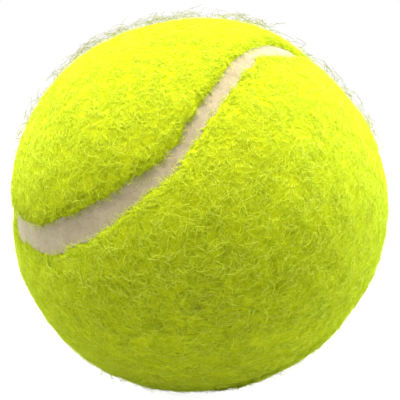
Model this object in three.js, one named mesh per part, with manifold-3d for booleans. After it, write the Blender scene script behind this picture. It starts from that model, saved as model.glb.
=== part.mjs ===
// Padel ball. Two moulded rubber half-shells make a hollow core. Two matching dumbbell-shaped
// felt panels wrap it, and a seam strip fills the winding channel between their edges.
// Millimetres, +Z up, origin at the ball's centre.

import * as THREE from 'three';
import { mergeVertices } from 'three/addons/utils/BufferGeometryUtils.js';
import Module from 'manifold-3d';

const wasm = await Module();
wasm.setup();

// Sizes of the ball and its layers
const BALL_DIAMETER = 65.6;
const FELT_THICKNESS = 2.75;
const CEMENT_THICKNESS = 0.25;
const CORE_WALL = 3.4;
const LAYER_GAP = 0.25;

// Felt panels, measured along the ball's surface from the middle of the seam
const SEAM_STRIP_WIDTH = 3.2;
const SEAM_STRIP_RECESS = 1.25;
const SEAM_STRIP_DISH = 0.25;
const SEAM_STRIP_SHOULDER = 0.8;
const FELT_EDGE_ROLL = 1.9;
const CEMENT_EDGE_INSET = 0.6;

// Rubber cement between the half-shells, with the bead that squeezes out inside
const JOINT_CEMENT_THICKNESS = 0.3;
const JOINT_BEAD_RADIUS = 0.8;
const RIM_CHAMFER = 0.4;

// Seam line: half the narrow waist of a panel, and how far the line sways sideways
const WAIST_HALF_ANGLE = THREE.MathUtils.degToRad(35.7);
const SEAM_SWAY = THREE.MathUtils.degToRad(15.1);
const LOBE_CENTRE_ANGLE = THREE.MathUtils.degToRad(100);

// How the cover lies as the ball rests, and how deep the nap is pressed flat under it
const COVER_TURN = new THREE.Euler(
  THREE.MathUtils.degToRad(-46.3),
  THREE.MathUtils.degToRad(30.1),
  THREE.MathUtils.degToRad(-36.7),
  'XYZ',
);
const REST_DEPTH = 0.3;

// Fineness of the surfaces
const SEAM_LENGTH_SAMPLES = 1440;
const FELT_STATIONS = 96;
const CEMENT_STATIONS = 72;
const ROLL_STEPS = 3;
const PANEL_STEPS = 5;
const CORE_SEGMENTS = 36;
const CORE_STEPS = 9;
const BEAD_STEPS = 8;

// Sizes that follow from the ones above
const BALL_RADIUS = BALL_DIAMETER / 2;
const FELT_INNER_RADIUS = BALL_RADIUS - FELT_THICKNESS;
const CEMENT_OUTER_RADIUS = FELT_INNER_RADIUS - LAYER_GAP;
const CEMENT_INNER_RADIUS = CEMENT_OUTER_RADIUS - CEMENT_THICKNESS;
const CORE_RADIUS = CEMENT_INNER_RADIUS - LAYER_GAP;
const CORE_INNER_RADIUS = CORE_RADIUS - CORE_WALL;
const STRIP_HALF_WIDTH = SEAM_STRIP_WIDTH / 2;
const STRIP_TOP_RADIUS = BALL_RADIUS - SEAM_STRIP_RECESS;
const FELT_EDGE = STRIP_HALF_WIDTH + LAYER_GAP;
const CEMENT_EDGE = FELT_EDGE + CEMENT_EDGE_INSET;
const RIM_HEIGHT = JOINT_CEMENT_THICKNESS / 2 + LAYER_GAP;

// The closed line on a unit sphere that the seam follows. It climbs and falls twice on its way
// round, and both panels have the same outline.
class SeamLine extends THREE.Curve {
  getPoint(t, target = new THREE.Vector3()) {
    const turn = 4 * Math.PI * t;
    const latitude = (Math.PI / 2 - WAIST_HALF_ANGLE) * Math.cos(turn);
    const longitude = turn / 2 + SEAM_SWAY * Math.sin(2 * turn);
    return target.set(
      Math.cos(latitude) * Math.cos(longitude),
      Math.cos(latitude) * Math.sin(longitude),
      Math.sin(latitude),
    );
  }
}

const seamLine = new SeamLine();
seamLine.arcLengthDivisions = SEAM_LENGTH_SAMPLES;

// A direction reached by walking a distance sideways from the seam, over the felt's surface.
// Positive distances go into the upper panel.
function besideSeam(t, distance) {
  const point = seamLine.getPoint(t);
  const sideways = point.clone().cross(seamLine.getTangent(t)).normalize();
  const angle = distance / BALL_RADIUS;
  return point.multiplyScalar(Math.cos(angle)).addScaledVector(sideways, Math.sin(angle));
}

// The panel's middle line, an arc over its waist from the centre of one lobe to the other
function onMiddleLine(t) {
  const angle = LOBE_CENTRE_ANGLE * Math.sin(2 * Math.PI * t);
  return new THREE.Vector3(0, Math.sin(angle), Math.cos(angle));
}

function between(from, to, share) {
  const angle = from.angleTo(to);
  return from.clone()
    .multiplyScalar(Math.sin((1 - share) * angle) / Math.sin(angle))
    .addScaledVector(to, Math.sin(share * angle) / Math.sin(angle));
}

// Stations evenly spaced along the seam, the first at the panel's waist
function seamStations(count) {
  return Array.from({ length: count }, (_, i) => seamLine.getUtoTmapping(i / count));
}

// A closed sheet that covers the upper panel's outline. Each ring runs all the way round the
// panel. The first and last rings are folded onto the middle line, where both sides meet.
function panelSheet(stations, rings) {
  const count = stations.length;
  const positions = [];
  const indexOf = rings.map((ring) => {
    const indices = [];
    stations.forEach((t, i) => {
      const mirrored = (count / 2 - i + count) % count;
      if (ring.folded && mirrored < i) {
        indices.push(indices[mirrored]);
        return;
      }
      const point = ring.direction(t).multiplyScalar(ring.radius);
      indices.push(positions.length / 3);
      positions.push(point.x, point.y, point.z);
    });
    return indices;
  });
  const triangles = [];
  for (let r = 0; r + 1 < rings.length; r += 1) {
    for (let i = 0; i < count; i += 1) {
      const next = (i + 1) % count;
      const [a, b] = [indexOf[r][i], indexOf[r][next]];
      const [c, d] = [indexOf[r + 1][i], indexOf[r + 1][next]];
      triangles.push(a, c, d, a, d, b);
    }
  }
  return closedGeometry(positions, triangles);
}

// Rings from the middle line out to a ring beside the seam, all at one radius
function ringsToEdge(edge, radius) {
  const rings = [{ folded: true, radius, direction: onMiddleLine }];
  for (let step = 1; step < PANEL_STEPS; step += 1) {
    const share = step / PANEL_STEPS;
    const direction = (t) => between(onMiddleLine(t), besideSeam(t, edge), share);
    rings.push({ radius, direction });
  }
  return rings;
}

function edgeRing(distance, radius) {
  return { radius, direction: (t) => besideSeam(t, distance) };
}

function closedGeometry(positions, triangles) {
  const geometry = new THREE.BufferGeometry();
  geometry.setAttribute('position', new THREE.Float32BufferAttribute(positions, 3));
  geometry.setIndex(triangles);
  geometry.computeVertexNormals();
  return geometry;
}

// The felt's crest is level over the panel and rolls down in a quarter circle to its cut edge
function feltGeometry() {
  const rollStart = FELT_EDGE + FELT_EDGE_ROLL;
  const rings = ringsToEdge(rollStart, BALL_RADIUS);
  for (let step = 0; step <= ROLL_STEPS; step += 1) {
    const angle = (Math.PI / 2) * (1 - step / ROLL_STEPS);
    const distance = rollStart - FELT_EDGE_ROLL * Math.cos(angle);
    const radius = BALL_RADIUS - FELT_EDGE_ROLL * (1 - Math.sin(angle));
    rings.push(edgeRing(distance, radius));
  }
  rings.push(edgeRing(FELT_EDGE, FELT_INNER_RADIUS));
  rings.push(...ringsToEdge(FELT_EDGE, FELT_INNER_RADIUS).reverse());
  return panelSheet(seamStations(FELT_STATIONS), rings);
}

function panelCementGeometry() {
  const rings = ringsToEdge(CEMENT_EDGE, CEMENT_OUTER_RADIUS);
  rings.push(edgeRing(CEMENT_EDGE, CEMENT_OUTER_RADIUS));
  rings.push(edgeRing(CEMENT_EDGE, CEMENT_INNER_RADIUS));
  rings.push(...ringsToEdge(CEMENT_EDGE, CEMENT_INNER_RADIUS).reverse());
  return panelSheet(seamStations(CEMENT_STATIONS), rings);
}

// The strip's section, from its foot on the core up to a slightly dished top, swept along the seam
function seamStripGeometry() {
  const shoulder = STRIP_HALF_WIDTH * SEAM_STRIP_SHOULDER;
  const dishRadius = STRIP_TOP_RADIUS - SEAM_STRIP_DISH;
  const section = [
    [-STRIP_HALF_WIDTH, CEMENT_INNER_RADIUS],
    [STRIP_HALF_WIDTH, CEMENT_INNER_RADIUS],
    [STRIP_HALF_WIDTH, dishRadius],
    [shoulder, STRIP_TOP_RADIUS],
    [0, dishRadius],
    [-shoulder, STRIP_TOP_RADIUS],
    [-STRIP_HALF_WIDTH, dishRadius],
  ];
  const stations = seamStations(FELT_STATIONS);
  const positions = [];
  const triangles = [];
  stations.forEach((t, i) => {
    for (const [distance, radius] of section) {
      positions.push(...besideSeam(t, distance).multiplyScalar(radius).toArray());
    }
    for (let k = 0; k < section.length; k += 1) {
      const [a, b] = [k, (k + 1) % section.length].map((n) => n + i * section.length);
      const step = ((i + 1) % stations.length - i) * section.length;
      triangles.push(a, b, b + step, a, b + step, a + step);
    }
  });
  return closedGeometry(positions, triangles);
}

// A moulded bowl with a flat buffed rim, its outer corner chamfered to take the cement
function coreHalfGeometry() {
  const rimAngle = (radius) => Math.asin(RIM_HEIGHT / radius);
  const arc = (radius, from, to) => Array.from({ length: CORE_STEPS + 1 }, (_, i) => {
    const angle = from + ((to - from) * i) / CORE_STEPS;
    return new THREE.Vector2(radius * Math.cos(angle), radius * Math.sin(angle));
  });
  const chamferAngle = Math.asin((RIM_HEIGHT + RIM_CHAMFER) / CORE_RADIUS);
  const outer = arc(CORE_RADIUS, Math.PI / 2, chamferAngle);
  const inner = arc(CORE_INNER_RADIUS, rimAngle(CORE_INNER_RADIUS), Math.PI / 2);
  const rimCorner = new THREE.Vector2(CORE_RADIUS - RIM_CHAMFER, RIM_HEIGHT);
  outer[0].x = 0;
  inner[CORE_STEPS].x = 0;
  const profile = [...inner.reverse(), rimCorner, ...outer.reverse()];
  return upright(new THREE.LatheGeometry(profile, CORE_SEGMENTS));
}

// A thin washer of cement between the rims, with its bead just inside the wall
function jointCementGeometry() {
  const half = JOINT_CEMENT_THICKNESS / 2;
  const beadCentre = CORE_INNER_RADIUS - LAYER_GAP - JOINT_BEAD_RADIUS;
  const opening = Math.asin(half / JOINT_BEAD_RADIUS);
  const profile = [new THREE.Vector2(CORE_RADIUS - RIM_CHAMFER, half)];
  for (let i = 0; i <= BEAD_STEPS; i += 1) {
    const angle = opening + ((2 * Math.PI - 2 * opening) * i) / BEAD_STEPS;
    profile.push(new THREE.Vector2(
      beadCentre + JOINT_BEAD_RADIUS * Math.cos(angle),
      JOINT_BEAD_RADIUS * Math.sin(angle),
    ));
  }
  profile.push(new THREE.Vector2(CORE_RADIUS - RIM_CHAMFER, -half));
  profile.push(profile[0].clone());
  return upright(new THREE.LatheGeometry(profile, CORE_SEGMENTS));
}

// A lathe turns about Y, and the ball's core stands on Z
function upright(geometry) {
  return geometry.rotateX(Math.PI / 2);
}

function toSolid(geometry) {
  const bare = geometry.clone();
  bare.deleteAttribute('normal');
  bare.deleteAttribute('uv');
  const merged = mergeVertices(bare);
  return new wasm.Manifold(new wasm.Mesh({
    numProp: 3,
    vertProperties: new Float32Array(merged.attributes.position.array),
    triVerts: new Uint32Array(merged.index.array),
  }));
}

function fromSolid(solid) {
  const mesh = solid.getMesh();
  return closedGeometry(Array.from(mesh.vertProperties), Array.from(mesh.triVerts));
}

// Takes away the nap that is pressed flat where the ball rests
function pressedFlat(geometry, down) {
  const slabSize = BALL_RADIUS;
  const slab = new THREE.BoxGeometry(slabSize, slabSize, slabSize);
  slab.translate(0, 0, BALL_RADIUS - REST_DEPTH + slabSize / 2);
  const up = new THREE.Vector3(0, 0, 1);
  slab.applyQuaternion(new THREE.Quaternion().setFromUnitVectors(up, down));
  return fromSolid(toSolid(geometry).subtract(toSolid(slab)));
}

function feltMaterial() {
  return new THREE.MeshStandardMaterial({ color: 0xcbe02c, roughness: 1.0, metalness: 0.0 });
}

function seamMaterial() {
  return new THREE.MeshStandardMaterial({ color: 0xc8bfa0, roughness: 0.8, metalness: 0.0 });
}

function rubberMaterial() {
  return new THREE.MeshStandardMaterial({ color: 0x3b3a38, roughness: 0.75, metalness: 0.0 });
}

function cementMaterial() {
  return new THREE.MeshStandardMaterial({ color: 0xe2d9bd, roughness: 0.6, metalness: 0.0 });
}

function piece(name, geometry, material) {
  const mesh = new THREE.Mesh(geometry, material);
  mesh.name = name;
  return mesh;
}

// The lower panel is the upper one turned half round about the line between the two waists
function asLowerPanel(mesh) {
  mesh.quaternion.setFromAxisAngle(new THREE.Vector3(1, 1, 0).normalize(), Math.PI);
  return mesh;
}

function core() {
  const group = new THREE.Group();
  const upper = piece('core_half_upper', coreHalfGeometry(), rubberMaterial());
  const lower = piece('core_half_lower', coreHalfGeometry(), rubberMaterial());
  lower.rotation.x = Math.PI;
  const joint = piece('core_joint_cement', jointCementGeometry(), cementMaterial());
  group.add(upper, lower, joint);
  return group;
}

function cover() {
  const group = new THREE.Group();
  group.rotation.copy(COVER_TURN);
  const feltA = piece('felt_panel_a', feltGeometry(), feltMaterial());
  const feltB = asLowerPanel(piece('felt_panel_b', feltGeometry(), feltMaterial()));
  const cementA = piece('panel_a_cement', panelCementGeometry(), cementMaterial());
  const cementB = asLowerPanel(piece('panel_b_cement', panelCementGeometry(), cementMaterial()));
  const strip = piece('seam_strip', seamStripGeometry(), seamMaterial());
  group.add(feltA, feltB, cementA, cementB, strip);
  group.updateMatrixWorld(true);
  for (const felt of [feltA, feltB]) {
    const toFelt = felt.matrixWorld.clone().invert();
    const down = new THREE.Vector3(0, 0, -1).transformDirection(toFelt);
    felt.geometry = pressedFlat(felt.geometry, down);
  }
  return group;
}

const ball = new THREE.Group();
ball.name = 'padel_ball';
ball.add(core(), cover());

export default ball;
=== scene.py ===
"""Padel ball: raised felt panels, their nap and the seam strip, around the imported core."""

import math

import bpy
import numpy as np
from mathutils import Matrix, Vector


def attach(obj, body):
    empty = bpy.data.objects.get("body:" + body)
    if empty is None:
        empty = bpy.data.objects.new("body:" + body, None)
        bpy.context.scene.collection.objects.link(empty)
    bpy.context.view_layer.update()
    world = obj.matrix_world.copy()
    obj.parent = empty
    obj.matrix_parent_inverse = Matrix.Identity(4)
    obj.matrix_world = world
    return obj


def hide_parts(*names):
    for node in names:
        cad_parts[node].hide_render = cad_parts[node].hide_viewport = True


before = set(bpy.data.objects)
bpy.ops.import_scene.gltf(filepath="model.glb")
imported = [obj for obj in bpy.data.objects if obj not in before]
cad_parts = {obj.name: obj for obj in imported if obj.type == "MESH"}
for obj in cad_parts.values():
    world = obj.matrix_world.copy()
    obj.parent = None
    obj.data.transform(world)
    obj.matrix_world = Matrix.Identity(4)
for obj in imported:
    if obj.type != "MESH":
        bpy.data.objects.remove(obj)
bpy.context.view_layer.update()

# Metres in a millimetre
MM = 0.001

# Radii in millimetres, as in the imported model, and the height of the floor
BALL = 32.8
STRIP_TOP = 31.55
FELT_FOOT = 30.05
ROLL_FOOT = 30.2
STRIP_FOOT = 29.6
REST_Z = -32.5

# The seam line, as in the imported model, and the angle after which it closes
WAIST = math.radians(35.7)
SWAY = math.radians(15.1)
LOBE = math.radians(100)
COVER_TURN = (math.radians(-46.3), math.radians(30.1), math.radians(-36.7))
WHOLE = 4 * math.pi
WHOLE_DEGREES = 720.0
SEAM_STEP = 1e-4

# The felt's body under its fibres, in millimetres
BODY = 32.50
ROLL = 2.0
SHOULDER_REACH = 2.6
FLOOR_GAP = 0.02

# A cut edge nearer to the seam line than this is eased outwards, so that the two never meet
EASE_FROM = 0.3
EASE_OVER = 0.2
NARROWEST = 0.1

# The strip's section in millimetres, from its dished top down to its foot
STRIP_SINK = 0.08
DISH_RISE = 0.10
DISH_FALL = 0.04
LIP = 0.7
SIDE_DEPTH = 0.75
SIDE_INSET = 0.05
FOOT_INSET = 0.1

# Layers of noise: the size of the bumps and their height in millimetres, and a seed
BROAD_SWELL = ((9.0, 0.10, 1),)
TUFTS = ((3.6, 0.11, 2), (1.7, 0.04, 3), (0.8, 0.015, 4))
RAGGED_EDGE = ((3.1, 0.22, 11), (1.5, 0.30, 12), (0.7, 0.12, 13))
UNEVEN_ROLL = ((4.0, 0.22, 21),)
STRIP_RELIEF = ((2.2, 0.05, 31), (0.7, 0.03, 32))

# How far apart the two sides' edges and rolls read the noise, so that they differ
EDGE_SHIFT = 40
ROLL_SHIFT = 60

# Keeps the walls of the noise's cells off the ball's middle planes
NOISE_OFFSET = 100.5

# Factors that turn a cell's three numbers and a seed into a scrambled one
HASH_FACTORS = (73856093, 19349663, 83492791)
SEED_FACTOR = 83585417
SCRAMBLE_FACTORS = (0x2C1B3C6D, 0x297A2D39)
LOW_32_BITS = 0xFFFFFFFF
LOW_16_BITS = 0xFFFF

# Where the felt's cut edges lie beside the seam line: degrees round it, then the lower and
# the upper edge's distance in millimetres. The strip varies in width as the photograph shows.
EDGES = (
    (0, 1.8, 1.7),
    (240, 1.7, 1.8),
    (470, 2.3, 1.0),
    (494, 3.6, 0.2),
    (510, 2.8, 1.1),
    (520, 1.7, 1.1),
    (540, 2.5, 1.6),
    (560, 1.5, 1.9),
    (580, 1.4, 1.9),
    (590, 0.6, 1.3),
    (602, 1.2, 0.3),
    (620, 0.3, 1.3),
    (640, 0.6, 1.4),
    (650, 0.3, 1.2),
    (665, 2.2, 1.5),
    (685, 1.0, 0.7),
    (702, 1.4, 1.3),
)

# How far the felt slopes down to its lower and its upper cut edge, in the same way
SHOULDERS = (
    (0, 0.2, 0.2),
    (480, 0.2, 0.2),
    (530, 0.9, 0.5),
    (590, 0.5, 0.6),
    (640, 0.3, 0.4),
    (690, 0.2, 0.2),
)

# The outline's low swells: how many go round, their height in millimetres and their phase
SWELLS = (
    (1, 0.20, 1.7),
    (2, 0.15, 0.1),
    (3, 0.15, 0.3),
    (4, 0.10, 1.3),
    (5, 0.10, 0.5),
    (6, 0.10, -1.4),
    (7, 0.10, -2.5),
)


def rotation(x, y, z):
    """The matrix that turns about Z first, then Y, then X."""
    cos_x, cos_y, cos_z = (math.cos(angle) for angle in (x, y, z))
    sin_x, sin_y, sin_z = (math.sin(angle) for angle in (x, y, z))
    turn_x = np.array([[1, 0, 0], [0, cos_x, -sin_x], [0, sin_x, cos_x]])
    turn_y = np.array([[cos_y, 0, sin_y], [0, 1, 0], [-sin_y, 0, cos_y]])
    turn_z = np.array([[cos_z, -sin_z, 0], [sin_z, cos_z, 0], [0, 0, 1]])
    return turn_x @ turn_y @ turn_z


COVER = rotation(*COVER_TURN)


def unit(vectors):
    return vectors / np.linalg.norm(vectors, axis=-1, keepdims=True)


def noise(points, size, seed):
    """Smooth value noise from -1 to 1 in space, with cells of the given size."""
    scaled = np.asarray(points, float) / size + NOISE_OFFSET
    cell = np.floor(scaled).astype(np.int64)
    within = scaled - cell
    within = within * within * within * (within * (within * 6 - 15) + 10)
    total = 0.0
    for corner in range(8):
        step = np.array([corner & 1, corner >> 1 & 1, corner >> 2 & 1])
        near = cell + step
        mixed = seed * SEED_FACTOR
        for axis, factor in enumerate(HASH_FACTORS):
            mixed = mixed ^ (near[..., axis] * factor)
        mixed = mixed & LOW_32_BITS
        mixed = ((mixed ^ (mixed >> 15)) * SCRAMBLE_FACTORS[0]) & LOW_32_BITS
        mixed = ((mixed ^ (mixed >> 12)) * SCRAMBLE_FACTORS[1]) & LOW_32_BITS
        value = ((mixed ^ (mixed >> 15)) & LOW_16_BITS) / (LOW_16_BITS / 2) - 1
        weight = np.prod(np.where(step == 1, within, 1 - within), axis=-1)
        total = total + value * weight
    return total


def uneven(points, layers):
    """The sum of layers of noise, each given by its size, its height and its seed."""
    return sum(height * noise(points, size, seed) for size, height, seed in layers)


def wave(turn, rows, side):
    """A smooth closed curve through the rows' values for one side, in cosine steps."""
    knots = np.array([row[0] for row in rows] + [WHOLE_DEGREES])
    values = np.array([row[2 if side > 0 else 1] for row in (*rows, rows[0])])
    degrees = np.mod(np.degrees(turn), WHOLE_DEGREES)
    before = np.clip(np.searchsorted(knots, degrees, side="right") - 1, 0, len(knots) - 2)
    share = (degrees - knots[before]) / (knots[before + 1] - knots[before])
    share = (1 - np.cos(np.pi * share)) / 2
    return values[before] * (1 - share) + values[before + 1] * share


def seam(turn):
    """Direction of the seam line on the ball at each angle of its turn, in the row frame."""
    latitude = (np.pi / 2 - WAIST) * np.cos(turn)
    longitude = turn / 2 + SWAY * np.sin(2 * turn)
    flat = np.cos(latitude)
    point = np.stack([flat * np.cos(longitude), flat * np.sin(longitude), np.sin(latitude)], -1)
    return point @ COVER.T


def sideways(turn):
    """Direction across the seam line, into the upper panel."""
    return unit(np.cross(seam(turn), seam(turn + SEAM_STEP) - seam(turn - SEAM_STEP)))


def beside(turn, distance):
    """Direction reached by walking a distance sideways from the seam."""
    angle = (distance / BALL)[..., None]
    return seam(turn) * np.cos(angle) + sideways(turn) * np.sin(angle)


def edge(turn, side):
    """Distance from the seam line to the felt's cut edge on one side, always positive."""
    wanted = wave(turn, EDGES, side) + uneven(seam(turn) * BALL + side * EDGE_SHIFT, RAGGED_EDGE)
    eased = NARROWEST + EASE_OVER * np.exp(np.minimum(wanted - EASE_FROM, 0) / EASE_OVER)
    return np.where(wanted < EASE_FROM, eased, wanted)


def shoulder(turn, side, past_roll):
    """How far the nap's body falls towards its rolled edge."""
    depth = np.where(side > 0, wave(turn, SHOULDERS, 1), wave(turn, SHOULDERS, -1))
    return depth * np.exp(-np.maximum(past_roll, 0) / SHOULDER_REACH)


def roll_size(turn, side):
    """The radius of one panel's rolled edge, which varies a little along it."""
    return ROLL + uneven(seam(turn) * BALL + side * ROLL_SHIFT, UNEVEN_ROLL)


def on_roll(turn, side, cut, roll, angle):
    """Direction and radius on a rolled edge, from angle 0 at its foot to a right angle."""
    direction = beside(turn, side * (cut + roll - roll * np.cos(angle)))
    crest = BODY + lumps(direction) - shoulder(turn, side, np.zeros_like(turn))
    return direction, crest - (crest - ROLL_FOOT) * (1 - np.sin(angle))


def middle(turn, side):
    """The panel's middle line, from the centre of one lobe over the waist to the other."""
    angle = LOBE * np.sin((turn if side > 0 else np.pi - turn) / 2)
    zero = np.zeros_like(angle)
    if side > 0:
        point = np.stack([zero, np.sin(angle), np.cos(angle)], -1)
    else:
        point = np.stack([np.sin(angle), zero, -np.cos(angle)], -1)
    return point @ COVER.T


def between(start, end, share):
    """Direction at a share of the way from one direction to another, along a great circle."""
    angle = np.arccos(np.clip((start * end).sum(-1, keepdims=True), -1, 1))
    return (np.sin((1 - share) * angle) * start + np.sin(share * angle) * end) / np.sin(angle)


def swells(direction):
    """The ball's low swells, strongest round the outline that the camera sees."""
    point = direction * BALL
    round_about = np.arctan2(point[..., 2], point[..., 0])
    outward = 1 - (point[..., 1] / BALL) ** 2
    swell = sum(size * np.cos(count * round_about + phase) for count, size, phase in SWELLS)
    return swell * outward + uneven(point, BROAD_SWELL)


def lumps(direction):
    """How far the nap's body stands above or below its mean radius."""
    return swells(direction) + uneven(direction * BALL, TUFTS)


def pressed(points):
    """The points, none of them lower than the nap that lies flat where the ball rests."""
    points[..., 2] = np.maximum(points[..., 2], REST_Z + FLOOR_GAP)
    return points


def in_scene(name, data):
    """A new object in the scene, from a mesh, a lamp or a camera."""
    made = bpy.data.objects.new(name, data)
    bpy.context.scene.collection.objects.link(made)
    return made


def new_object(name, vertices, triangles, material):
    """A mesh object from points in millimetres and triangles."""
    mesh = bpy.data.meshes.new(name)
    mesh.vertices.add(len(vertices))
    mesh.vertices.foreach_set("co", (vertices * MM).astype(np.float32).ravel())
    mesh.loops.add(triangles.size)
    mesh.loops.foreach_set("vertex_index", triangles.astype(np.int32).ravel())
    mesh.polygons.add(len(triangles))
    mesh.polygons.foreach_set("loop_start", np.arange(0, triangles.size, 3, dtype=np.int32))
    mesh.polygons.foreach_set("use_smooth", np.ones(len(triangles), bool))
    mesh.update(calc_edges=True)
    mesh.materials.append(material)
    return in_scene(name, mesh)


def stitched(rows):
    """Triangles between rows of vertex numbers that each run round in a circle."""
    quads = []
    for upper, lower in zip(rows[:-1], rows[1:]):
        next_upper = np.roll(upper, -1)
        next_lower = np.roll(lower, -1)
        quads.append(np.stack([upper, lower, next_lower], 1))
        quads.append(np.stack([upper, next_lower, next_upper], 1))
    triangles = np.concatenate(quads)
    distinct = (
        (triangles[:, 0] != triangles[:, 1])
        & (triangles[:, 1] != triangles[:, 2])
        & (triangles[:, 0] != triangles[:, 2])
    )
    return triangles[distinct]


# Above 1, the panel's rings lie closer together towards its edge
RING_SPACING = 1.5


def numbered(rings, station, fold):
    """The rings' points in one list, and each ring's numbers in it.

    A folded ring lies on the middle line, where its two halves share their points.
    """
    vertices = []
    rows = []
    total = 0
    for points, folded in rings:
        if folded:
            first_of_two = np.minimum(station, fold)
            kept = first_of_two == station
            numbers = np.cumsum(kept) - 1
            rows.append(total + numbers[first_of_two])
            points = points[kept]
        else:
            rows.append(total + station)
        vertices.append(points)
        total += len(points)
    return np.concatenate(vertices), rows


def felt_panel(name, side, material, stations=900, across=46, roll_steps=9, back_steps=10):
    """One dumbbell-shaped panel: nap crest, rolled edge, cut edge and flat back, closed."""
    station = np.arange(stations)
    turn = WHOLE * station / stations
    fold = np.mod((stations // 2 - station) if side > 0 else -station, stations)
    cut = edge(turn, side)
    roll = roll_size(turn, side)
    start = beside(turn, side * (cut + roll))
    centre = middle(turn, side)
    rings = []
    for step in range(across):
        share = 1 - (1 - step / across) ** RING_SPACING
        direction = between(centre, start, share)
        left = np.arccos(np.clip((direction * start).sum(1), -1, 1)) * BALL
        radius = BODY + lumps(direction) - shoulder(turn, side, left)
        rings.append((direction * radius[:, None], step == 0))
    for step in range(roll_steps + 1):
        angle = (math.pi / 2) * (1 - step / roll_steps)
        direction, radius = on_roll(turn, side, cut, roll, angle)
        rings.append((direction * radius[:, None], False))
    foot = beside(turn, side * cut)
    rings.append((foot * FELT_FOOT, False))
    for step in range(back_steps - 1, -1, -1):
        direction = between(centre, foot, step / back_steps)
        rings.append((direction * FELT_FOOT, step == 0))
    vertices, rows = numbered(rings, station, fold)
    triangles = stitched(rows)
    if side < 0:
        triangles = triangles[:, ::-1]
    return new_object(name, pressed(vertices), triangles, material)


def seam_strip(name, material, stations=1200, steps=18):
    """The strip between the felt's edges, dished and slightly uneven, down to the core."""
    turn = WHOLE * np.arange(stations) / stations
    low = -edge(turn, -1)
    high = edge(turn, 1)
    columns = []
    for step in range(steps + 1):
        share = step / steps
        distance = (low - LIP) + (high - low + 2 * LIP) * share
        direction = beside(turn, distance)
        point = direction * BALL
        dish = DISH_RISE * (2 * share - 1) ** 4 - DISH_FALL
        radius = STRIP_TOP - STRIP_SINK + swells(direction) + dish + uneven(point, STRIP_RELIEF)
        columns.append(direction * radius[:, None])
    for distance, radius in (
        (high - SIDE_INSET, STRIP_TOP - SIDE_DEPTH),
        (high - FOOT_INSET, STRIP_FOOT),
        (low + FOOT_INSET, STRIP_FOOT),
        (low + SIDE_INSET, STRIP_TOP - SIDE_DEPTH),
    ):
        columns.append(beside(turn, distance) * radius)
    vertices = np.concatenate(columns)
    rows = [np.arange(stations) + column * stations for column in range(len(columns))]
    triangles = stitched([*rows, rows[0]])
    return new_object(name, vertices, triangles, material)


# Nap fibres: curly three-sided hairs, closed at both ends
RNG = np.random.default_rng(20)

# Points along the seam line, which each root's distance is measured from
SEAM_TURNS = np.linspace(0, WHOLE, 3600, endpoint=False)
SEAM_POINTS = seam(SEAM_TURNS)
SEAM_SIDES = sideways(SEAM_TURNS)
# Roots are measured in groups of this many, which saves memory
ROOTS_AT_A_TIME = 20000

# Where shade is painted into the nap's colour: along edges that face down, less so high on the
# ball, and as a painted shadow near the floor where the ball rests
FACING_GAIN = 1.3
LOW_FROM = 1.15
LOW_GAIN = 1.3
EDGE_SHADE_REACH = 3.0
FLOOR_SHADE_FROM = 0.87
FLOOR_SHADE_OVER = 0.11
FLOOR_SHADE = 1.7
# How far the hairs of the crest reach down the rolled edge, as a share of the roll
CREST_OVERLAP = 0.25

# How hairs lie and curl, in millimetres and radians
ROOT_DEPTH = 0.18
LOCK_SIZE = 3.2
LOCK_TURN = 1.6
SCATTER = 1.3
BEND = 0.55
CURL = (0.10, 0.65)
CURL_LENGTH = (1.1, 2.6)
CURL_UP = 0.35
CURL_UP_LENGTH = 0.8
LIFT_POWER = 1.3
DROP = (-0.7, 0.1)
HEIGHT_SPREAD = 0.35
PATCH_SIZE = 2.4
PATCH_DEPTH = 0.45

# A hair's tip is thinner by this share, and less so where it fades in colour instead
TAPER = 0.55
FADED_TAPER = 0.25
# Fading starts at this height in millimetres and takes this much more
FADE_FROM = 0.4
FADE_OVER = 0.5
# Keeps a tangent of no length from a division by nothing
TINY = 1e-9
# Free margin round each hair's own cell of the texture map, as a share of the cell
CELL_MARGIN = 0.06


def nearest_seam(directions):
    """The seam's turn nearest to each direction, and the distance from it, signed by side."""
    best = np.empty(len(directions), int)
    for at in range(0, len(directions), ROOTS_AT_A_TIME):
        part = slice(at, at + ROOTS_AT_A_TIME)
        best[part] = np.argmax(directions[part] @ SEAM_POINTS.T, axis=1)
    point = SEAM_POINTS[best]
    distance = np.arccos(np.clip((directions * point).sum(1), -1, 1)) * BALL
    return SEAM_TURNS[best], distance * np.sign((directions * SEAM_SIDES[best]).sum(1))


def underside(turn, side):
    """How far a panel's edge there is turned away from light from above, from 0 to 1."""
    facing_down = np.clip(FACING_GAIN * side * sideways(turn)[..., 2], 0, 1)
    low_on_ball = np.clip(LOW_FROM - LOW_GAIN * seam(turn)[..., 2], 0, 1)
    return facing_down * low_on_ball


def crest_roots(count):
    """Points spread over the panels, with their normals, sides and how much shade is painted into
    their colour there.
    """
    height = RNG.uniform(-1, 1, count)
    around = RNG.uniform(0, 2 * np.pi, count)
    ring = np.sqrt(1 - height * height)
    direction = np.stack([ring * np.cos(around), ring * np.sin(around), height], 1)
    turn, distance = nearest_seam(direction)
    side = np.sign(distance)
    cut = np.where(side > 0, edge(turn, 1), edge(turn, -1))
    roll = np.where(side > 0, roll_size(turn, 1), roll_size(turn, -1))
    past_roll = np.abs(distance) - cut - roll
    inside = past_roll > -CREST_OVERLAP * roll
    direction, side, turn, past_roll = (
        values[inside] for values in (direction, side, turn, past_roll)
    )
    root = direction * (BODY + lumps(direction) - shoulder(turn, side, past_roll))[:, None]
    # Painted shade along edges that face down, and a painted shadow on the nap near the floor
    # where the ball rests
    painted_edge_shade = underside(turn, side) * np.exp(-np.maximum(past_roll, 0) / EDGE_SHADE_REACH)
    painted_floor_shadow = np.clip((-direction[:, 2] - FLOOR_SHADE_FROM) / FLOOR_SHADE_OVER, 0, 1)
    return root, direction, side, np.maximum(painted_edge_shade, FLOOR_SHADE * painted_floor_shadow)


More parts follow.
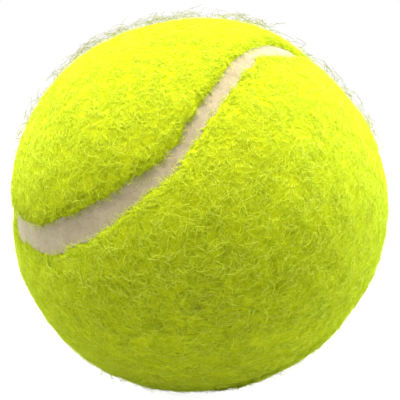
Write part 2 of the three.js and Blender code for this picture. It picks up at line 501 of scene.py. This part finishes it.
def roll_roots(count, side, lowest=0.0, highest=math.pi / 2):
    """The same on the rolled edge of one panel, between two angles from its foot."""
    turn = RNG.uniform(0, WHOLE, count)
    angle = RNG.uniform(lowest, highest, count)
    direction, radius = on_roll(turn, side, edge(turn, side), roll_size(turn, side), angle)
    root = direction * radius[:, None]
    toward_seam = -side * sideways(turn)
    normal = unit(toward_seam * np.cos(angle)[:, None] + direction * np.sin(angle)[:, None])
    # Their painted shade follows how far the edge turns away from light from above
    return root, normal, np.full(count, float(side)), underside(turn, side)


def grow(root, normal, length, lift, steps, height, crimp=1.0, fall=0.0):
    """Centre lines of curly hairs that lift off at an angle and rise to about a height."""
    count = len(root)
    helper = np.where(np.abs(normal[:, 2:3]) < 0.9, [[0, 0, 1.0]], [[1.0, 0, 0]])
    aside = unit(np.cross(helper, normal))
    onward = np.cross(normal, aside)
    heading = np.pi * noise(root, LOCK_SIZE, seed=41) * LOCK_TURN + RNG.normal(0, SCATTER, count)
    bend = RNG.normal(0, BEND, count)
    curl = RNG.uniform(*CURL, count) * crimp
    period = RNG.uniform(*CURL_LENGTH, count)
    phase = RNG.uniform(0, 2 * np.pi, count)
    phase_up = RNG.uniform(0, 2 * np.pi, count)
    drop = RNG.uniform(*DROP, count) - fall
    patches = 1 + PATCH_DEPTH * noise(root, PATCH_SIZE, seed=42)
    limit = height * RNG.lognormal(0, HEIGHT_SPREAD, count) * patches
    base = np.linalg.norm(root, axis=1)
    point = root - normal * ROOT_DEPTH
    line = [point]
    for step in range(steps):
        share = (step + 0.5) / steps
        along = share * length
        angle = heading + bend * along + curl * np.sin(2 * np.pi * along / period + phase)
        up = lift * (1 - share) ** LIFT_POWER + drop * share
        wave_up = np.sin(2 * np.pi * along / (period * CURL_UP_LENGTH) + phase_up)
        up = up + CURL_UP * crimp * wave_up
        across = np.cos(angle)[:, None] * aside + np.sin(angle)[:, None] * onward
        stride = np.cos(up)[:, None] * across + np.sin(up)[:, None] * normal
        point = point + stride * (length / steps)[:, None]
        line.append(point)
    line = np.stack(line, 1)
    # Hairs are brushed down, so their height above the root is bounded
    radius = np.linalg.norm(line, axis=2)
    rise = radius - base[:, None]
    bound = limit[:, None]
    eased = np.where(rise > 0, bound * (1 - np.exp(-np.maximum(rise, 0) / bound)), rise)
    return line * ((base[:, None] + eased) / radius)[..., None]


def hair_corners(line, width, taper):
    """Corners of three-sided tubes along the lines, three at each step and one at the tip."""
    count, points, _ = line.shape
    steps = points - 1
    tangent = np.empty_like(line)
    tangent[:, 1:-1] = line[:, 2:] - line[:, :-2]
    tangent[:, 0] = line[:, 1] - line[:, 0]
    tangent[:, -1] = line[:, -1] - line[:, -2]
    tangent = unit(tangent + TINY)
    across = unit(np.cross(tangent[:, 0], RNG.normal(0, 1, (count, 3))))
    corners = []
    for step in range(steps):
        ahead = tangent[:, step]
        across = unit(across - ahead * (across * ahead).sum(1, keepdims=True))
        other = np.cross(ahead, across)
        share = step / steps
        half = width * (1 - taper * share**2) / 2
        for corner in range(3):
            angle = 2 * math.pi * corner / 3
            outward = across * math.cos(angle) + other * math.sin(angle)
            corners.append(line[:, step] + outward * half[:, None])
    corners.append(line[:, -1])
    return pressed(np.stack(corners, 1))


def hair_triangles(steps):
    """Corner numbers of one hair's triangles: its closed root, its sides and its tip."""
    triangles = [(0, 2, 1)]
    for step in range(steps):
        for corner in range(3):
            here = 3 * step + corner
            after = 3 * step + (corner + 1) % 3
            if step < steps - 1:
                triangles += [(here, after, after + 3), (here, after + 3, here + 3)]
            else:
                triangles.append((here, after, 3 * steps))
    return np.array(triangles)


def hair_map(count, steps):
    """A place on the texture map for every corner, with a cell of its own for each hair."""
    grid = math.ceil(math.sqrt(count))
    cell = np.stack([np.arange(count) % grid, np.arange(count) // grid], 1) / grid
    local = [(corner / 2, step / steps) for step in range(steps) for corner in range(3)]
    local = np.array([*local, (0.5, 1.0)])
    local = CELL_MARGIN + local * (1 - 2 * CELL_MARGIN)
    return (cell[:, None] + local[None] / grid).reshape(-1, 2)


def hairs(name, line, width, shade, material, fade=0.0):
    """Closed hairs along the lines, with a shade that fades and a small map for each."""
    line = pressed(line)
    count, points, _ = line.shape
    steps = points - 1
    corners = hair_corners(line, width, FADED_TAPER if fade else TAPER)
    per_hair = corners.shape[1]
    first = np.arange(count)[:, None, None] * per_hair
    triangles = (first + hair_triangles(steps)).reshape(-1, 3)
    made = new_object(name, corners.reshape(-1, 3), triangles, material)
    rise = np.linalg.norm(line, axis=2) - np.linalg.norm(line[:, :1], axis=2)
    faded = shade[:, None] - fade * np.clip((rise - FADE_FROM) / FADE_OVER, 0, 1)
    faded = faded[:, np.arange(per_hair) // 3].astype(np.float32)
    tone = made.data.attributes.new("shade", "FLOAT", "POINT")
    tone.data.foreach_set("value", faded.ravel())
    places = hair_map(count, steps)[triangles.ravel()].astype(np.float32)
    layer = made.data.uv_layers.new(name="OFBake")
    layer.data.foreach_set("uv", places.ravel())
    return made


# Colours of each material, as rows of a position from 0 to 1 and the colour there
# The felt's body is darker than the hairs, as painted shade in the gaps between them
FELT_COLOURS = (
    (0.30, (0.44, 0.55, 0.006)),
    (0.5, (0.57, 0.71, 0.009)),
    (0.72, (0.70, 0.85, 0.014)),
)
# The nap's lower positions also carry the shade painted into its tone
NAP_COLOURS = (
    (0.0, (0.38, 0.50, 0.010)),
    (0.4, (0.62, 0.79, 0.019)),
    (0.75, (0.78, 0.96, 0.05)),
    (1.0, (0.83, 1.0, 0.12)),
)
STRAY_COLOURS = (
    (0.0, (0.37, 0.40, 0.16)),
    (0.4, (0.57, 0.65, 0.13)),
    (0.8, (0.84, 0.96, 0.07)),
)
STRIP_COLOURS = (
    (0.3, (0.425, 0.395, 0.265)),
    (0.7, (0.505, 0.48, 0.335)),
)
STRIP_SPECKS = (
    (0.30, (0.76, 0.74, 0.74)),
    (0.5, (0.96, 0.96, 0.96)),
    (0.75, (1.0, 1.0, 1.0)),
)
RUBBER_COLOURS = (
    (0.3, (0.030, 0.029, 0.027)),
    (0.7, (0.055, 0.053, 0.050)),
)
CEMENT_COLOURS = (
    (0.3, (0.70, 0.64, 0.50)),
    (0.7, (0.82, 0.77, 0.64)),
)


def material(name):
    """A new material, its node tree and its shader."""
    made = bpy.data.materials.new(name)
    made.use_nodes = True
    tree = made.node_tree
    return made, tree, tree.nodes["Principled BSDF"]


def node(tree, kind, **values):
    """A new shader node, with values for its inputs or its settings."""
    made = tree.nodes.new(kind)
    for key, value in values.items():
        if key in made.inputs:
            made.inputs[key].default_value = value
        else:
            setattr(made, key, value)
    return made


def ramp(tree, source, stops):
    """The colour that the stops give for a value."""
    made = tree.nodes.new("ShaderNodeValToRGB")
    elements = made.color_ramp.elements
    while len(elements) > 1:
        elements.remove(elements[0])
    first, colour = stops[0]
    elements[0].position = first
    elements[0].color = (*colour, 1)
    for position, colour in stops[1:]:
        elements.new(position).color = (*colour, 1)
    tree.links.new(source, made.inputs["Fac"])
    return made.outputs["Color"]


def texture(tree, scale, detail, roughness, distortion=0.0):
    """A noise texture, with the scale in cells per metre."""
    where = tree.nodes.new("ShaderNodeTexCoord")
    made = node(tree, "ShaderNodeTexNoise", Scale=scale, Detail=detail)
    made.inputs["Roughness"].default_value = roughness
    made.inputs["Distortion"].default_value = distortion
    tree.links.new(where.outputs["Object"], made.inputs["Vector"])
    return made.outputs["Fac"]


def multiplied_colours(tree, first, second):
    """The product of two colour outputs."""
    made = node(tree, "ShaderNodeMix", data_type="RGBA", blend_type="MULTIPLY")
    made.inputs["Factor"].default_value = 1.0
    colours = [socket for socket in made.inputs if socket.type == "RGBA"]
    tree.links.new(first, colours[0])
    tree.links.new(second, colours[1])
    return next(socket for socket in made.outputs if socket.type == "RGBA")


def math_node(tree, first, second, operation="ADD"):
    """The sum of two values or outputs, or another operation on them."""
    made = node(tree, "ShaderNodeMath", operation=operation)
    for socket, value in zip(made.inputs, (first, second)):
        if isinstance(value, (int, float)):
            socket.default_value = value
        else:
            tree.links.new(value, socket)
    return made.outputs[0]


def surface(tree, shader, colour, roughness, specular):
    """The shader's colour and how it reflects."""
    tree.links.new(colour, shader.inputs["Base Color"])
    shader.inputs["Roughness"].default_value = roughness
    shader.inputs["Specular IOR Level"].default_value = specular


def bumps(tree, shader, height, strength, distance):
    """Small relief, with its distance in metres."""
    bump = node(tree, "ShaderNodeBump", Strength=strength, Distance=distance)
    tree.links.new(height, bump.inputs["Height"])
    tree.links.new(bump.outputs["Normal"], shader.inputs["Normal"])


def felt_body_material():
    """The matted felt under the fibres, darker than the hairs as painted shade between them, and
    darker in its pits as painted shade.
    """
    made, tree, shader = material("felt_body")
    fine = texture(tree, scale=1900, detail=6, roughness=0.7, distortion=0.4)
    broad = texture(tree, scale=260, detail=4, roughness=0.55)
    fine_part = math_node(tree, fine, 0.65, "MULTIPLY")
    broad_part = math_node(tree, broad, 0.35, "MULTIPLY")
    colour = ramp(tree, math_node(tree, fine_part, broad_part), FELT_COLOURS)
    surface(tree, shader, colour, roughness=1.0, specular=0.1)
    bumps(tree, shader, fine, strength=0.6, distance=0.0003)
    return made


def fibre_material(name, colours, scale, detail, roughness):
    """Each hair has its own shade, and a fine texture varies it a little along the hair."""
    made, tree, shader = material(name)
    tone = node(tree, "ShaderNodeAttribute", attribute_name="shade")
    broad = texture(tree, scale, detail, roughness)
    varied = math_node(tree, math_node(tree, broad, -0.5), 0.3, "MULTIPLY")
    colour = ramp(tree, math_node(tree, tone.outputs["Fac"], varied), colours)
    surface(tree, shader, colour, roughness=0.7, specular=0.08)
    return made


def strip_material():
    """Beige adhesive with darker specks."""
    made, tree, shader = material("seam_strip")
    fine = texture(tree, scale=1500, detail=6, roughness=0.65, distortion=1.2)
    broad = texture(tree, scale=420, detail=3, roughness=0.5)
    base = ramp(tree, broad, STRIP_COLOURS)
    specks = ramp(tree, fine, STRIP_SPECKS)
    colour = multiplied_colours(tree, base, specks)
    surface(tree, shader, colour, roughness=0.85, specular=0.2)
    bumps(tree, shader, fine, strength=0.35, distance=0.0002)
    return made


def core_material(name, colours, scale, roughness):
    """Mottled rubber or cement, which only shows where the ball is opened."""
    made, tree, shader = material(name)
    fine = texture(tree, scale, detail=5, roughness=0.6)
    surface(tree, shader, ramp(tree, fine, colours), roughness, specular=0.5)
    bumps(tree, shader, fine, strength=0.3, distance=0.0001)
    return made


# Camera: four ball radii away and ten degrees up, as the outline and the seam show
CAMERA_DISTANCE = 4 * BALL * MM
CAMERA_LIFT = math.radians(10)
TOWARD_EYE = np.array([0, -math.cos(CAMERA_LIFT), math.sin(CAMERA_LIFT)])
LENS = 65.64
# How far the photograph's middle lies right of the ball's centre and above it, in pixels
PHOTO_WIDTH = 400
MIDDLE_RIGHT = 2.6
MIDDLE_ABOVE = 5.0

camera = bpy.data.cameras.new("camera")
camera.lens = LENS
camera.sensor_width = 36
camera.shift_x = MIDDLE_RIGHT / PHOTO_WIDTH
camera.shift_y = MIDDLE_ABOVE / PHOTO_WIDTH
camera.clip_start = 0.01
camera.clip_end = 20
eye = in_scene("camera", camera)
eye.location = TOWARD_EYE * CAMERA_DISTANCE
eye.rotation_euler = (math.pi / 2 - CAMERA_LIFT, 0, 0)
bpy.context.scene.camera = eye


# Light: a soft box nearly overhead and one on each side, over an even white room
def soft_box(name, place, size, power, colour=(1, 1, 1)):
    """A round lamp that faces the ball, in metres and watts."""
    lamp = bpy.data.lights.new(name, "AREA")
    lamp.shape = "DISK"
    lamp.size = size
    lamp.energy = power
    lamp.color = colour
    made = in_scene(name, lamp)
    made.location = place
    made.rotation_euler = (-Vector(place)).to_track_quat("-Z", "Y").to_euler()


soft_box("overhead", (-0.02, -0.04, 0.55), size=0.50, power=8.7, colour=(1, 0.855, 0.775))
soft_box("right_side", (0.47, 0.14, 0.03), size=0.35, power=4.4)
soft_box("left_side", (-0.47, 0.22, 0.03), size=0.35, power=3.2)


def seen_directly(tree):
    """1 where the camera sees a surface, also in a mirror or through glass, and 0 elsewhere."""
    rays = tree.nodes.new("ShaderNodeLightPath")
    seen = math_node(tree, rays.outputs["Is Camera Ray"], rays.outputs["Is Glossy Ray"], "MAXIMUM")
    return math_node(tree, seen, rays.outputs["Is Transmission Ray"], "MAXIMUM")


# The room looks white, and lights the ball with this share of it
ROOM_LIGHT = 0.175


def white_room():
    """An even white world that is seen at full strength and lights the ball less."""
    world = bpy.data.worlds.new("room")
    bpy.context.scene.world = world
    world.use_nodes = True
    tree = world.node_tree
    background = tree.nodes["Background"]
    seen = math_node(tree, seen_directly(tree), 1 - ROOM_LIGHT, "MULTIPLY")
    tree.links.new(math_node(tree, seen, ROOM_LIGHT), background.inputs["Strength"])
    background.inputs["Color"].default_value = (1, 1, 1, 1)


white_room()

# Floor: grey for the light that falls on it, and topped up to white where it is seen
FLOOR_REACH = 3.0
FLOOR_GREY = 0.47
FLOOR_GLOW = 0.916


def floor_material():
    """A glow tops the floor up to white, so that it keeps a light shadow of the ball."""
    made, tree, shader = material("floor")
    shader.inputs["Base Color"].default_value = (FLOOR_GREY, FLOOR_GREY, FLOOR_GREY, 1)
    shader.inputs["Roughness"].default_value = 1.0
    shader.inputs["Specular IOR Level"].default_value = 0.0
    seen = seen_directly(tree)
    glow = tree.nodes.new("ShaderNodeEmission")
    tree.links.new(math_node(tree, seen, FLOOR_GLOW, "MULTIPLY"), glow.inputs["Strength"])
    total = tree.nodes.new("ShaderNodeAddShader")
    tree.links.new(shader.outputs["BSDF"], total.inputs[0])
    tree.links.new(glow.outputs["Emission"], total.inputs[1])
    tree.links.new(total.outputs[0], tree.nodes["Material Output"].inputs["Surface"])
    return made


floor_mesh = bpy.data.meshes.new("floor")
floor_corners = [
    (across * FLOOR_REACH, deep * FLOOR_REACH, REST_Z * MM)
    for across, deep in ((-1, -1), (1, -1), (1, 1), (-1, 1))
]
floor_mesh.from_pydata(floor_corners, [], [(0, 1, 2, 3)])
floor = in_scene("floor", floor_mesh)
floor_mesh.materials.append(floor_material())

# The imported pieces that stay: the core and its cement
rubber = core_material("core_rubber", RUBBER_COLOURS, scale=900, roughness=0.75)
cement = core_material("rubber_cement", CEMENT_COLOURS, scale=1200, roughness=0.6)
for name, worn in (
    ("core_half_upper", rubber),
    ("core_half_lower", rubber),
    ("core_joint_cement", cement),
    ("panel_a_cement", cement),
    ("panel_b_cement", cement),
):
    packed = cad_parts[name]
    packed.data.materials.clear()
    packed.data.materials.append(worn)

# The felt panels and the seam strip
felt_body = felt_body_material()
panels = {}
for side, letter in ((1, "a"), (-1, "b")):
    panels[side] = felt_panel("felt_" + letter, side, felt_body)
    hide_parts("felt_panel_" + letter)
    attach(panels[side], "root")

strip = seam_strip("seam_strip_surface", strip_material())
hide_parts("seam_strip")
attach(strip, "root")

# How many roots each layer of the nap starts from, before some are left out
UNDER_NAP = 72000
NAP = 72000
LONG_NAP = 11000
FLECKS = 12000
UPPER_FRINGE = 3400
LOWER_FRINGE = 3800
STRAYS = 24000

# The most triangles in one piece of the nap, so that no mesh file grows too large
MOST_TRIANGLES = 190000

# The nap is ruffled, and its tone painted darker as shade, round this height, as a share of the
# radius, and smooth further off
RUFFLED_AND_SHADED_HEIGHT = -0.25
RUFFLED_AND_SHADED_SPREAD = 0.48

# Stray hairs stand where the ball turns away from the camera, in patches of this size in
# millimetres. The turn is the cosine of the angle between the nap and the line of sight.
STRAY_TURN = 0.16
STRAY_TURN_EITHER_WAY = 0.12
STRAY_PATCH = 6.0

nap = fibre_material("felt_nap", NAP_COLOURS, scale=380, detail=4, roughness=0.65)
stray = fibre_material("felt_stray", STRAY_COLOURS, scale=500, detail=2, roughness=0.5)
extras = {1: [], -1: []}


def sow(kind, root, normal, side, length, width, lift, steps, shade, worn, fade=0.0, **how):
    """Grows one layer of hairs and parts it into pieces, by panel and by size."""
    line = grow(root, normal, length, lift, steps, **how)
    most = MOST_TRIANGLES // len(hair_triangles(steps))
    for one, letter in ((1, "a"), (-1, "b")):
        chosen = np.flatnonzero(side == one)
        for part, at in enumerate(range(0, len(chosen), most)):
            pick = chosen[at : at + most]
            name = f"{kind}_{letter}_{part + 1}"
            made = hairs(name, line[pick], width[pick], shade[pick], worn, fade)
            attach(made, "root")
            extras[one].append(made)


def tones(count, middle, spread):
    """Shades around a middle one, with a tail of bright hairs."""
    return np.clip(middle + spread * (RNG.exponential(1, count) - 1), 0, 1)


def lengths(count, middle, spread, low, high):
    """Lengths in millimetres around a middle one, between two limits."""
    return np.clip(RNG.lognormal(math.log(middle), spread, count), low, high)


def ruffled_and_shaded(normal):
    """1 on the front and the back where the nap is ruffled and its tone is painted darker as
    shade, down to 0 where it is smooth.
    """
    off = (normal[:, 2] - RUFFLED_AND_SHADED_HEIGHT) / RUFFLED_AND_SHADED_SPREAD
    return np.exp(-(off**2)) * normal[:, 1] ** 2


def thinned(roots, chance):
    """The roots that are left when each stays with its own chance."""
    kept = RNG.uniform(0, 1, len(chance)) < chance
    return [part[kept] for part in roots]


def both_edges(upper, lower, *angles):
    """Roots on the rolled edges of both panels, with their own numbers."""
    edges = (roll_roots(upper, 1, *angles), roll_roots(lower, -1, *angles))
    return [np.concatenate(part) for part in zip(*edges)]


# Short thick hairs that lie low and hide the felt's body, in a tone darker than the nap's as
# painted shade under it, and darker still where shade is painted on downward edges, near the floor
# and where the nap is ruffled
root, normal, side, painted_shade = crest_roots(UNDER_NAP)
count = len(root)
ruffle_and_shade = ruffled_and_shaded(normal)
sow(
    "under_nap", root, normal, side,
    length=lengths(count, 1.7, spread=0.3, low=0.8, high=3.0),
    width=RNG.uniform(0.065, 0.10, count),
    lift=RNG.uniform(0.2, 0.9, count),
    steps=3,
    shade=tones(count, 0.66 - 0.48 * ruffle_and_shade - 0.28 * painted_shade, spread=0.05 + 0.16 * ruffle_and_shade),
    worn=nap,
    height=0.35,
)

# The nap over them, finer, and higher where it is ruffled; its tone is painted darker there as
# shade, and along downward edges and near the floor
root, normal, side, painted_shade = crest_roots(NAP)
count = len(root)
ruffle_and_shade = ruffled_and_shaded(normal)
sow(
    "nap", root, normal, side,
    length=lengths(count, 2.3, spread=0.3, low=1.2, high=4.0),
    width=RNG.uniform(0.035, 0.06, count),
    lift=RNG.uniform(0.5, 1.35, count),
    steps=5,
    shade=tones(count, 0.76 - 0.21 * ruffle_and_shade - 0.27 * painted_shade, spread=0.06 + 0.32 * ruffle_and_shade),
    worn=nap,
    height=0.38 + 0.16 * ruffle_and_shade,
)

# Longer bright hairs, fewer of them where the nap is smooth, painted darker as shade along
# downward edges and near the floor
roots = crest_roots(LONG_NAP)
root, normal, side, painted_shade = thinned(roots, 0.30 + 0.70 * ruffled_and_shaded(roots[1]))
count = len(root)
sow(
    "long_nap", root, normal, side,
    length=lengths(count, 2.9, spread=0.3, low=1.5, high=5.0),
    width=RNG.uniform(0.045, 0.062, count),
    lift=RNG.uniform(0.7, 1.4, count),
    steps=8,
    shade=tones(count, 0.98 - 0.30 * painted_shade, spread=0.06),
    worn=nap,
    height=0.85,
    crimp=1.2,
)

# Short bright hair ends that stand out of the ruffled nap, whose bright tone is partly a painted
# highlight for hair ends lit from above
roots = crest_roots(FLECKS)
root, normal, side, _ = thinned(roots, 0.15 + 1.0 * ruffled_and_shaded(roots[1]))
count = len(root)
sow(
    "fleck", root, normal, side,
    length=lengths(count, 1.7, spread=0.35, low=0.8, high=3.0),
    width=RNG.uniform(0.055, 0.08, count),
    lift=RNG.uniform(0.9, 1.5, count),
    steps=5,
    shade=tones(count, 1.0, spread=0.05),
    worn=nap,
    height=0.9,
    crimp=1.2,
)

# Hairs on the rolled edges, the thicker ones underneath in a darker tone as painted shade, and all
# of them painted darker as shade where the edge turns from light from above
for kind, number, middle_length, widths, height, bright in (
    ("under_edge", 7000, 1.1, (0.065, 0.10), 0.35, 0.42),
    ("edge_nap", 9000, 1.6, (0.045, 0.075), 0.5, 0.62),
):
    root, normal, side, painted_shade = both_edges(number, number)
    count = len(root)
    sow(
        kind, root, normal, side,
        length=lengths(count, middle_length, spread=0.3, low=0.5, high=3.0),
        width=RNG.uniform(*widths, count),
        lift=RNG.uniform(0.5, 1.5, count),
        steps=4,
        shade=tones(count, bright - 0.27 * painted_shade, spread=0.18),
        worn=nap,
        height=height,
    )

# Ragged hairs that hang out over the strip, painted darker as shade where the edge turns from
# light from above
root, normal, side, painted_shade = both_edges(UPPER_FRINGE, LOWER_FRINGE, 0.35, 1.35)
count = len(root)
sow(
    "fringe", root, normal, side,
    length=lengths(count, 1.15, spread=0.35, low=0.5, high=2.4),
    width=RNG.uniform(0.05, 0.08, count),
    lift=RNG.uniform(0.5, 1.4, count),
    steps=6,
    shade=tones(count, 0.6 - 0.15 * painted_shade, spread=0.25),
    worn=nap,
    height=0.6,
    crimp=1.7,
    fall=0.7,
)

# Stray hairs beside the outline that the camera sees, most of them along its upper part
roots = crest_roots(STRAYS)
from_outline = np.abs(roots[1] @ TOWARD_EYE - STRAY_TURN)
chance = np.clip(0.3 + 0.8 * roots[1][:, 2], 0.2, 0.9)
chance = chance * np.clip(0.75 + 0.9 * noise(roots[0], STRAY_PATCH, seed=51), 0, 1)
root, normal, side, _ = thinned(roots, chance * (from_outline < STRAY_TURN_EITHER_WAY))
count = len(root)
sow(
    "stray", root, normal, side,
    length=RNG.uniform(1.5, 5.5 + 2.5 * normal[:, 2]),
    width=RNG.uniform(0.05, 0.075, count),
    lift=RNG.uniform(0.9, 1.5, count),
    steps=10,
    shade=RNG.uniform(0.7, 1.0, count),
    worn=stray,
    fade=0.9,
    height=2.5,
    crimp=1.8,
    fall=-0.3,
)

bpy.context.scene.view_settings.view_transform = "Standard"
